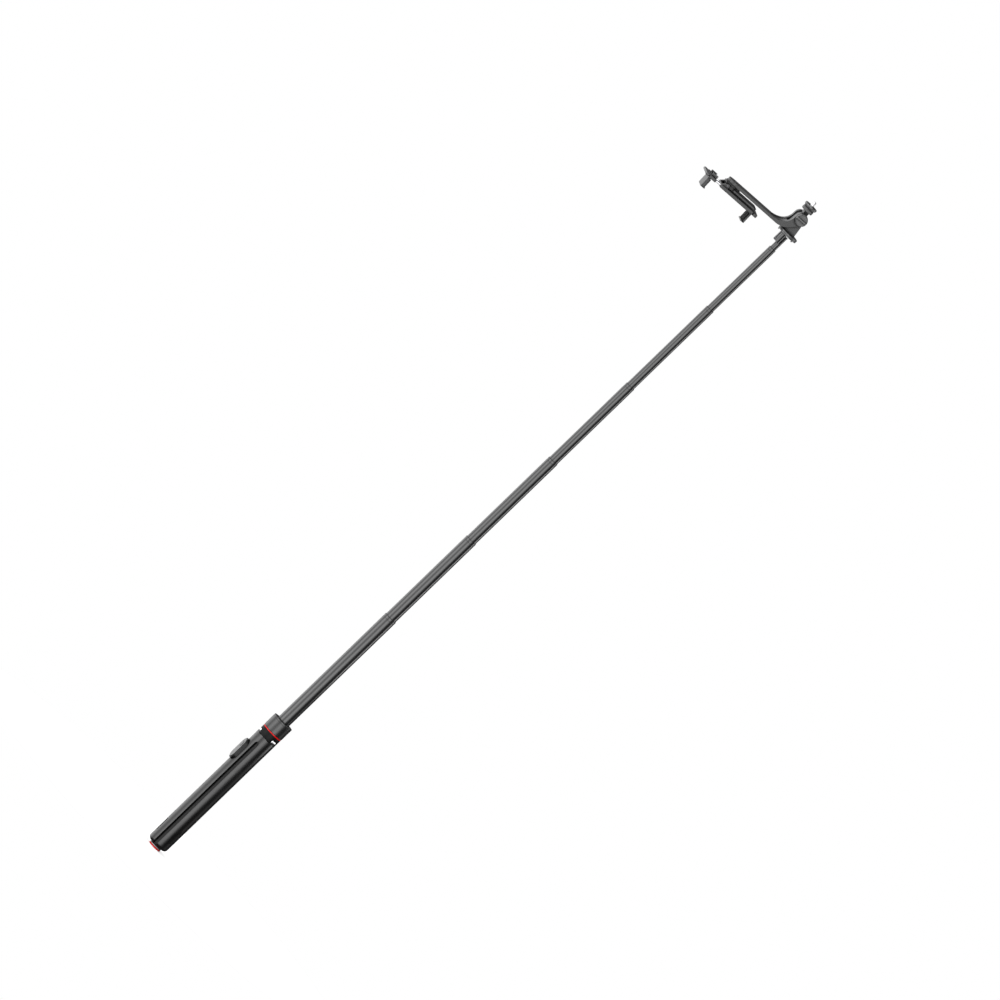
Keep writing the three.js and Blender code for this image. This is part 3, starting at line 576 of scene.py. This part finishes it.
def make_materials():
    """The finishes by name: one for each of the record's material slots, and the special ones."""
    made = {}

    def add(kind, name, *look, **more):
        made[name] = kind(name, *look, **more)

    add(moulded_plastic, "grip_plastic", (0.0042, 0.0042, 0.0043), 0.27, 0.03)
    add(moulded_plastic, "black_plastic", (0.0040, 0.0040, 0.0041), 0.36, 0.04, specular=0.3)
    add(
        moulded_plastic, "core_plastic", (0.006, 0.006, 0.0061), 0.34, 0.02,
        specular=0.22, crevice_specular=1.0,
    )
    add(moulded_plastic, "matt_black", (0.0028, 0.0028, 0.0029), 0.42, 0.04, specular=0.1)
    add(moulded_plastic, "collar_plastic", (0.0085, 0.0086, 0.0088), 0.25, 0.02, specular=0.52)
    add(moulded_plastic, "grey_plastic", (0.050, 0.0505, 0.051), 0.30, 0.02, specular=0.52)
    add(moulded_plastic, "head_plastic", (0.016, 0.0162, 0.0165), 0.32, 0.03)
    # Head plastic with painted shade reaching further from its crevices: a painted shadow under the arm.
    add(moulded_plastic, "base_plastic", (0.016, 0.0162, 0.0165), 0.32, 0.03, reach=BASE_PAINTED_SHADE_REACH)
    add(moulded_plastic, "knob_plastic", (0.055, 0.0553, 0.0556), 0.34, 0.02)
    add(turned_steel, "black_oxide", (0.10, 0.10, 0.105), 0.34)
    add(anodised_tube, "tube_finish", (0.0085, 0.0087, 0.009), 0.19)
    add(turned_steel, "steel", (0.86, 0.86, 0.87), 0.42)
    add(polished_chrome, "chrome", (0.88, 0.88, 0.90))
    add(moulded_plastic, "red_plastic", (0.42, 0.002, 0.002), 0.34, 0.02, wear=1.2, specular=0.2)
    add(soft_rubber, "red_rubber", (0.46, 0.006, 0.004), 0.50)
    add(moulded_plastic, "pale_plastic", (0.32, 0.325, 0.33), 0.35, 0.02, wear=1.2)
    add(soft_rubber, "rubber", (0.0045, 0.0045, 0.0047), 0.70)
    return made


finishes = make_materials()


def finish_of(node):
    return finishes[SPECIAL_FINISHES.get(node, slot_of_node[node])]


# ---- Pole and foot ----------------------------------------------------------------------------------

def lathed_piece(node, profile, edge, origin=(0, 0, 0), axis=UP, sides=ROUND_SIDES):
    bm = bmesh.new()
    add_lathe(bm, rounded(profile, edge), origin, axis, sides)
    finish_piece(node + "_turned", bm, finish_of(node), node)


def make_tube(node, next_radius):
    """A drawn tube with a rolled-in lip at its top and a crimp ring just under it."""
    bottom, top, outer = upright(node)
    inner = outer - TUBE["wall"]
    lip = next_radius + TUBE["play"]
    crimp_top = top - CRIMP["below_rim"]
    crimp_bottom = crimp_top - CRIMP["height"]
    depth = CRIMP["depth"]
    profile = [
        (inner, bottom),
        (outer, bottom),
        (outer, crimp_bottom - depth),
        (outer - depth, crimp_bottom),
        (outer - depth, crimp_top),
        (outer, crimp_top + depth),
        (outer, top),
        (lip, top),
        (lip, top - TUBE["lip"]),
        (inner, top - TUBE["lip"] - (inner - lip)),
    ]
    lathed_piece(node, profile, TUBE["round"])


def make_tubes():
    names = [f"tube_{i + 1}" for i in range(TUBE_COUNT)]
    inside = [upright(name)[2] for name in names[1:]]
    inside.append(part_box("neck_rod")[1].y - NECK_CAP_OVERHANG)
    for name, next_radius in zip(names, inside):
        make_tube(name, next_radius)


def make_collar():
    bottom, top, outer = upright("collar")
    shelf = top - COLLAR["lip"]
    groove = top - COLLAR_GROOVE["below_rim"]
    depth = COLLAR_GROOVE["depth"]
    profile = [
        (CORE_SEAT_RADIUS, bottom),
        (outer, bottom),
        (outer, groove - 2 * depth),
        (outer - depth, groove - depth),
        (outer, groove),
        (outer, top),
        (COLLAR["bore"], top),
        (COLLAR["bore"], shelf),
        (CORE_SEAT_RADIUS, shelf),
    ]
    lathed_piece("collar", profile, COLLAR["round"])


def make_ring(node, bore, edge):
    """A plain ring or tube with rounded edges."""
    bottom, top, outer = upright(node)
    lathed_piece(node, [(bore, bottom), (outer, bottom), (outer, top), (bore, top)], edge)


def make_foot_cap():
    """The rubber foot: rounded over at its rim, with concentric treads cut in its underside."""
    bottom, top, outer = upright("foot_cap")
    roof = bottom + TREAD["depth"]
    profile = [(0, bottom), (FOOT["centre"], bottom)]
    for r in TREAD["radii"]:
        end = r + TREAD["width"]
        profile += [(r, bottom), (r + TREAD["slope"], roof), (end - TREAD["slope"], roof), (end, bottom)]
    profile += [
        (outer - FOOT["chamfer"], bottom),
        (outer, bottom + FOOT["chamfer"]),
        (outer, FOOT["rim_top"]),
        (FOOT["stem"], FOOT["rim_top"]),
        (FOOT["stem"], top),
        (0, top),
    ]
    lathed_piece("foot_cap", profile, FOOT["round"])


def make_foot_washer():
    """The pale washer between the red foot and the grip."""
    bore, outer, top = (WASHER[key] for key in ("bore", "outer", "top"))
    bottom = FOOT["rim_top"] + WASHER["above_rim"]
    profile = [(bore, bottom), (outer, bottom), (outer, top), (bore, top)]
    bm = bmesh.new()
    add_lathe(bm, rounded(profile, WASHER["round"]))
    finish_piece("foot_washer", bm, finishes["pale_plastic"], "foot_cap")


# ---- Head plate, camera screw, nut and cup ----------------------------------------------------------

def make_head_plate():
    """The plate under the head, with a shallow groove round its rim and three pegs that find the legs."""
    node = "head_plate"
    low, top, outer = upright(node)
    bottom = low + PEG["length"]
    groove_bottom = bottom + PLATE_GROOVE["bottom"]
    groove_top = bottom + PLATE_GROOVE["top"]
    slope, depth = PLATE_GROOVE["slope"], PLATE_GROOVE["depth"]
    profile = [
        (0, bottom),
        (outer, bottom),
        (outer, groove_bottom),
        (outer - depth, groove_bottom + slope),
        (outer - depth, groove_top - slope),
        (outer, groove_top),
        (outer, top),
        (0, top),
    ]
    peg = [
        (0, -PEG["length"]),
        (PEG["tip"], -PEG["length"]),
        (PEG["radius"], -PEG["length"] + PEG["taper"]),
        (PEG["radius"], PEG["root"]),
        (0, PEG["root"]),
    ]
    bm = bmesh.new()
    add_lathe(bm, rounded(profile, PLATE_ROUND))
    for azimuth in LEG_AZIMUTHS:
        turn = math.radians(azimuth)
        at = (PEG["circle"] * math.cos(turn), PEG["circle"] * math.sin(turn), bottom)
        add_lathe(bm, rounded(peg, PEG["round"]), at, UP, SMALL_SIDES)
    finish_piece("head_plate_turned", bm, finish_of(node), node)


def make_camera_screw():
    """A 1/4 inch screw: a helical V thread with a tapered lead-in."""
    node = "camera_screw"
    bottom, top, crest = upright(node)
    steps = int((top - bottom) / THREAD["pitch"] * THREAD_STEPS_PER_TURN)
    heights = [bottom + (top - bottom) * k / steps for k in range(steps + 1)]

    def radius_at(angle, height):
        turn = (height / THREAD["pitch"] - angle / (2 * math.pi)) % 1.0
        groove = THREAD["depth"] * max(0.0, 1 - abs(2 * turn - 1) * THREAD["flank"])
        lead_in = max(0.0, height - (top - THREAD["lead_in"])) * THREAD["lead_in_slope"]
        return crest - max(groove, lead_in)

    bm = bmesh.new()
    add_swept(bm, radius_at, heights, plan_place(node), UP, SMALL_SIDES)
    finish_piece("camera_screw_thread", bm, finish_of(node), node, smooth_angle=60)


def make_lock_nut():
    """A thumb nut with a straight knurl and chamfered ends."""
    node = "lock_nut"
    bottom, top, outer = upright(node)
    height_of_nut = top - bottom
    chamfer = KNURL["chamfer"]
    near_end = [0, chamfer, chamfer * 1.2]
    levels = near_end + [height_of_nut - level for level in reversed(near_end)]

    def radius_at(angle, height):
        from_end = min(height, height_of_nut - height)
        inset = max(0.0, chamfer - from_end)
        wave = 0.5 - 0.5 * math.cos(KNURL["count"] * angle)
        return min(outer - inset, outer - KNURL["depth"] * wave ** KNURL["sharpness"])

    bm = bmesh.new()
    sides = KNURL["count"] * KNURL["sides_each"]
    add_swept(bm, radius_at, levels, plan_place(node, bottom), UP, sides)
    finish_piece("lock_nut_knurled", bm, finish_of(node), node, smooth_angle=40)


def make_cup():
    """The cup that holds the rubber pad."""
    node = "lock_cup"
    bottom, top, outer = upright(node)
    floor = top - CUP["depth"]
    profile = [
        (CUP["hole"], bottom),
        (CUP["foot"], bottom),
        (outer, bottom + CUP["flare"]),
        (outer, top),
        (CUP["inside"], top),
        (CUP["inside"], floor),
        (CUP["hole"], floor),
    ]
    lathed_piece(node, profile, CUP["round"], plan_place(node))


def make_cup_pad():
    """A rubber disc with rings standing up on it."""
    node = "cup_pad"
    bottom, top, outer = upright(node)
    hole, pitch, land, slope = (CUP_PAD[key] for key in ("hole", "pitch", "land", "slope"))
    valley = top - CUP_PAD["depth"]
    profile = [(hole, bottom), (outer, bottom), (outer, top)]
    ring = outer
    while ring - pitch > hole + CUP_PAD["margin"]:
        profile += [(ring - land, top), (ring - land - slope, valley), (ring - pitch + slope, valley)]
        ring -= pitch
        profile.append((ring, top))
    profile.append((hole, top))
    lathed_piece(node, profile, CUP_PAD["round"], plan_place(node))


# ---- Tilt knob --------------------------------------------------------------------------------------

def arm_droop():
    """How far the arm hangs below level, from the direction in which the jaw slides."""
    return math.asin(Vector(joints["jaw_slide"]["axis"]).z)


def make_tilt_knob():
    """A round knob with a dished face, a grip bar across it and a fluted rim."""
    node = "tilt_knob"
    origin = Vector(joints["arm_tilt"]["pos_m"])
    outward = Vector((0, -1, 0))
    back, front, _ = measure(node, origin, outward)
    face, radius = KNOB["face"], KNOB["radius"]

    def radius_at(angle, height):
        from_end = min(height - back, face - height)
        flute = KNOB["flute_depth"] * (0.5 - 0.5 * math.cos(KNOB["flutes"] * angle))
        return radius - max(0.0, KNOB["edge"] - from_end) - flute

    levels = [back + step for step in KNOB_BACK_STEPS] + [face - step for step in KNOB_FRONT_STEPS]
    bm = bmesh.new()
    dish = [add_swept(bm, radius_at, levels, origin, outward, KNOB_SIDES)]
    bmesh.ops.inset_region(bm, faces=dish, thickness=KNOB_DISH["rim"], depth=0.0)
    bmesh.ops.inset_region(bm, faces=dish, thickness=KNOB_DISH["slope"], depth=-KNOB_DISH["depth"])

    half_height = (front - face + KNOB_DISH["depth"]) / 2
    half_sizes = (radius - KNOB_BAR["short_of_rim"], KNOB_BAR["half_width"], half_height)
    tilt = Matrix.Rotation(arm_droop(), 4, "Y")
    lie_across = Matrix(((1, 0, 0), (0, 0, 1), (0, 1, 0))).to_4x4()
    centre = Matrix.Translation(origin + outward * (front - half_height))
    add_block(bm, half_sizes, centre @ tilt @ lie_across, KNOB_BAR["edge"])
    finish_piece("tilt_knob_winged", bm, finish_of(node), node, smooth_angle=38)


# ---- Rods, pins and pads ----------------------------------------------------------------------------

def make_rod(node, axis):
    """A plain round rod or pin with its ends chamfered."""
    origin = middle(node)
    start, end, radius = measure(node, origin, axis)
    profile = [(0, start), (radius, start), (radius, end), (0, end)]
    lathed_piece(node, profile, ROD_CHAMFER, origin, axis, SMALL_SIDES)


def make_pad(node, facing):
    """A ribbed rubber pad, its ribs running across the jaw."""
    direction = Vector(facing).normalized()
    across = Vector((0, 1, 0))
    down = direction.cross(across).normalized()
    if down.z > 0:
        down = -down
    centre = middle(node)
    offsets = [v.co - centre for v in nodes[node].data.vertices]
    thick, wide, tall = (max(abs(o.dot(d)) for o in offsets) for d in (direction, across, down))
    pitch = 2 * tall / RIBS
    outline = [(-thick, -tall), (-thick, tall)]
    for i in range(RIBS):
        top = tall - i * pitch
        outline += [(thick - depth, top - share * pitch) for share, depth in RIB_OUTLINE]
    bm = bmesh.new()
    ends = []
    for side in (-wide, wide):
        loop = [bm.verts.new(centre + direction * x - down * z + across * side) for x, z in outline]
        ends.append(loop)
        bm.faces.new(loop)
    for k in range(len(outline)):
        after = (k + 1) % len(outline)
        bm.faces.new([ends[0][k], ends[0][after], ends[1][after], ends[1][k]])
    piece = finish_piece(node + "_ribbed", bm, finish_of(node), node, smooth_angle=50)
    round_edges(piece, RIB_EDGE, 60)


def make_edged_copies():
    for node, edge in EDGES.items():
        edged_copy(node, edge * MM)
    for node, edge in ROUND_SHELL_EDGES.items():
        round_shelled_copy(node, edge * MM)


def paint_plain_nodes():
    """The CAD nodes that stay as they are get their finish too."""
    for name, obj in nodes.items():
        obj.data.materials.clear()
        obj.data.materials.append(finish_of(name))


# ---- Stage ------------------------------------------------------------------------------------------

def camera_axes():
    """The camera's unrolled right and up, and the way back to it."""
    a, e = CAMERA_AZIMUTH, CAMERA_ELEVATION
    right = Vector((math.cos(a), -math.sin(a), 0))
    back = Vector((-math.sin(a) * math.cos(e), -math.cos(a) * math.cos(e), math.sin(e)))
    return right, back.cross(right), back


def add_camera():
    right, up, back = camera_axes()
    s, c = math.sin(POLE_SLOPE), math.cos(POLE_SLOPE)
    across = right * s + up * c
    upward = up * s - right * c
    data = bpy.data.cameras.new("camera")
    data.type = "ORTHO"
    data.ortho_scale = PICTURE_WIDTH
    data.clip_end = 4 * CAMERA_DISTANCE
    camera = bpy.data.objects.new("camera", data)
    bpy.context.scene.collection.objects.link(camera)
    aim = up * PICTURE_CENTRE_UP + right * PICTURE_CENTRE_ACROSS
    turn = Matrix((across, upward, back)).transposed().to_4x4()
    camera.matrix_world = Matrix.Translation(aim + back * CAMERA_DISTANCE) @ turn
    bpy.context.scene.camera = camera


def add_floor():
    """A pale matte disc under the foot."""
    bm = bmesh.new()
    bmesh.ops.create_circle(bm, cap_ends=True, segments=128, radius=FLOOR_RADIUS)
    mesh = bpy.data.meshes.new("floor")
    bm.to_mesh(mesh)
    bm.free()
    floor = bpy.data.objects.new("floor", mesh)
    bpy.context.scene.collection.objects.link(floor)
    darker, paler = ((shade, shade, shade) for shade in FLOOR_SHADES)
    paint = Nodes("floor_paint", darker, 0.9)
    fine = paint.noise(paint.place(), 60.0)
    paint.join(paint.blend_colour(fine, darker, paler), "Base Color")
    paint.shader.inputs["Emission Color"].default_value = (1, 1, 1, 1)
    paint.shader.inputs["Emission Strength"].default_value = FLOOR_GLOW
    mesh.materials.append(paint.material)
    floor.visible_glossy = False
    floor.visible_diffuse = False


def add_tube_light():
    """A tall soft strip on the camera's right, which lights the tubes' right-hand edges."""
    data = bpy.data.lights.new("tube_light", "AREA")
    data.shape = "RECTANGLE"
    data.size = TUBE_LIGHT["width"]
    data.size_y = TUBE_LIGHT["top"] - TUBE_LIGHT["bottom"]
    data.energy = TUBE_LIGHT["brightness"] * math.pi * data.size * data.size_y
    light = bpy.data.objects.new("tube_light", data)
    bpy.context.scene.collection.objects.link(light)
    turn = TUBE_LIGHT["angle"] - math.pi / 2 - CAMERA_AZIMUTH
    out = Vector((math.cos(turn), math.sin(turn), 0))
    height = (TUBE_LIGHT["top"] + TUBE_LIGHT["bottom"]) / 2
    facing = Matrix((UP.cross(out), UP, out)).transposed().to_4x4()
    light.matrix_world = Matrix.Translation(out * TUBE_LIGHT["distance"] + UP * height) @ facing
    light.visible_camera = False


class Sky:
    """The world's nodes, with short calls to add and join them."""

    def __init__(self):
        world = bpy.data.worlds.new("studio")
        bpy.context.scene.world = world
        world.use_nodes = True
        self.tree = world.node_tree
        self.tree.nodes.clear()

    def add(self, kind, *inputs, **settings):
        """Adds a node; each input is an output to join, a value, or None to leave it."""
        node = self.tree.nodes.new(kind)
        for key, value in settings.items():
            setattr(node, key, value)
        for socket, value in zip(node.inputs, inputs):
            if value is not None:
                feed(self.tree, socket, value)
        return node

    def calculate(self, operation, first, second):
        return self.add("ShaderNodeMath", first, second, operation=operation).outputs["Value"]

    def smooth_step(self, value, start, end):
        return self.add("ShaderNodeMapRange", value, start, end, interpolation_type="SMOOTHSTEP").outputs[0]

    def blend(self, factor, first, second):
        return self.add("ShaderNodeMix", factor, None, first, second).outputs[0]

    def panels(self, share_of_turn):
        """The studio panels' brightness for a share of a turn round the stick."""
        ramp = self.add("ShaderNodeValToRGB", share_of_turn)
        ramp.color_ramp.interpolation = "EASE"
        stops = ramp.color_ramp.elements
        stops.remove(stops[-1])
        for i, (degrees, brightness) in enumerate(STUDIO_PANELS):
            at = (degrees + 180) / 360
            stop = stops[0] if i == 0 else stops.new(at)
            stop.position = at
            level = brightness / STUDIO_BRIGHTEST
            stop.color = (level, level, level, 1)
        return self.calculate("MULTIPLY", ramp.outputs["Color"], STUDIO_BRIGHTEST)


def add_studio():
    """Tall soft panels all round the stick, a dimmer ceiling and ground, and a white backdrop."""
    sky = Sky()
    where = sky.add("ShaderNodeTexCoord").outputs["Generated"]
    parts = sky.add("ShaderNodeSeparateXYZ", where).outputs
    around = sky.calculate("ARCTAN2", parts["Y"], parts["X"])
    behind_stick = -1.5 * math.pi - CAMERA_AZIMUTH
    turns = sky.calculate("DIVIDE", sky.calculate("SUBTRACT", around, behind_stick), 2 * math.pi)
    panels = sky.panels(sky.calculate("FRACT", turns, None))
    below = sky.smooth_step(parts["Z"], *GROUND_FROM_TO)
    above = sky.smooth_step(parts["Z"], *CEILING_FROM_TO)
    brightness = sky.blend(above, sky.blend(below, panels, UNDERNEATH_BRIGHTNESS), OVERHEAD_BRIGHTNESS)
    light = sky.add("ShaderNodeBackground", (1, 1, 1, 1), brightness)
    backdrop = sky.add("ShaderNodeBackground", (1, 1, 1, 1), BACKDROP_BRIGHTNESS)
    seen = sky.add("ShaderNodeLightPath").outputs["Is Camera Ray"]
    choose = sky.add("ShaderNodeMixShader", seen, light.outputs[0], backdrop.outputs[0])
    sky.add("ShaderNodeOutputWorld", choose.outputs[0])
    bpy.context.scene.view_settings.view_transform = "Standard"


# ---- Build ------------------------------------------------------------------------------------------

paint_plain_nodes()
make_tubes()
make_collar()
make_ring("accent_ring", CORE_SEAT_RADIUS, ACCENT_ROUND)
make_ring("core_tube", CORE["bore"], CORE["round"])
make_foot_cap()
make_foot_washer()
make_head_plate()
make_camera_screw()
make_lock_nut()
make_cup()
make_cup_pad()
make_tilt_knob()
along_bar = Vector(joints["jaw_slide"]["axis"])
make_rod("guide_rod_front", along_bar)
make_rod("guide_rod_rear", along_bar)
make_rod("fold_pin", (0, 1, 0))
make_rod("tilt_screw", (0, 1, 0))
make_rod("swivel_rivet", joints["clamp_turn"]["axis"])
make_rod("swivel_pin", UP)
make_pad("outer_pad", -along_bar)
make_pad("inner_pad", along_bar)
make_edged_copies()
add_camera()
add_floor()
add_tube_light()
add_studio()
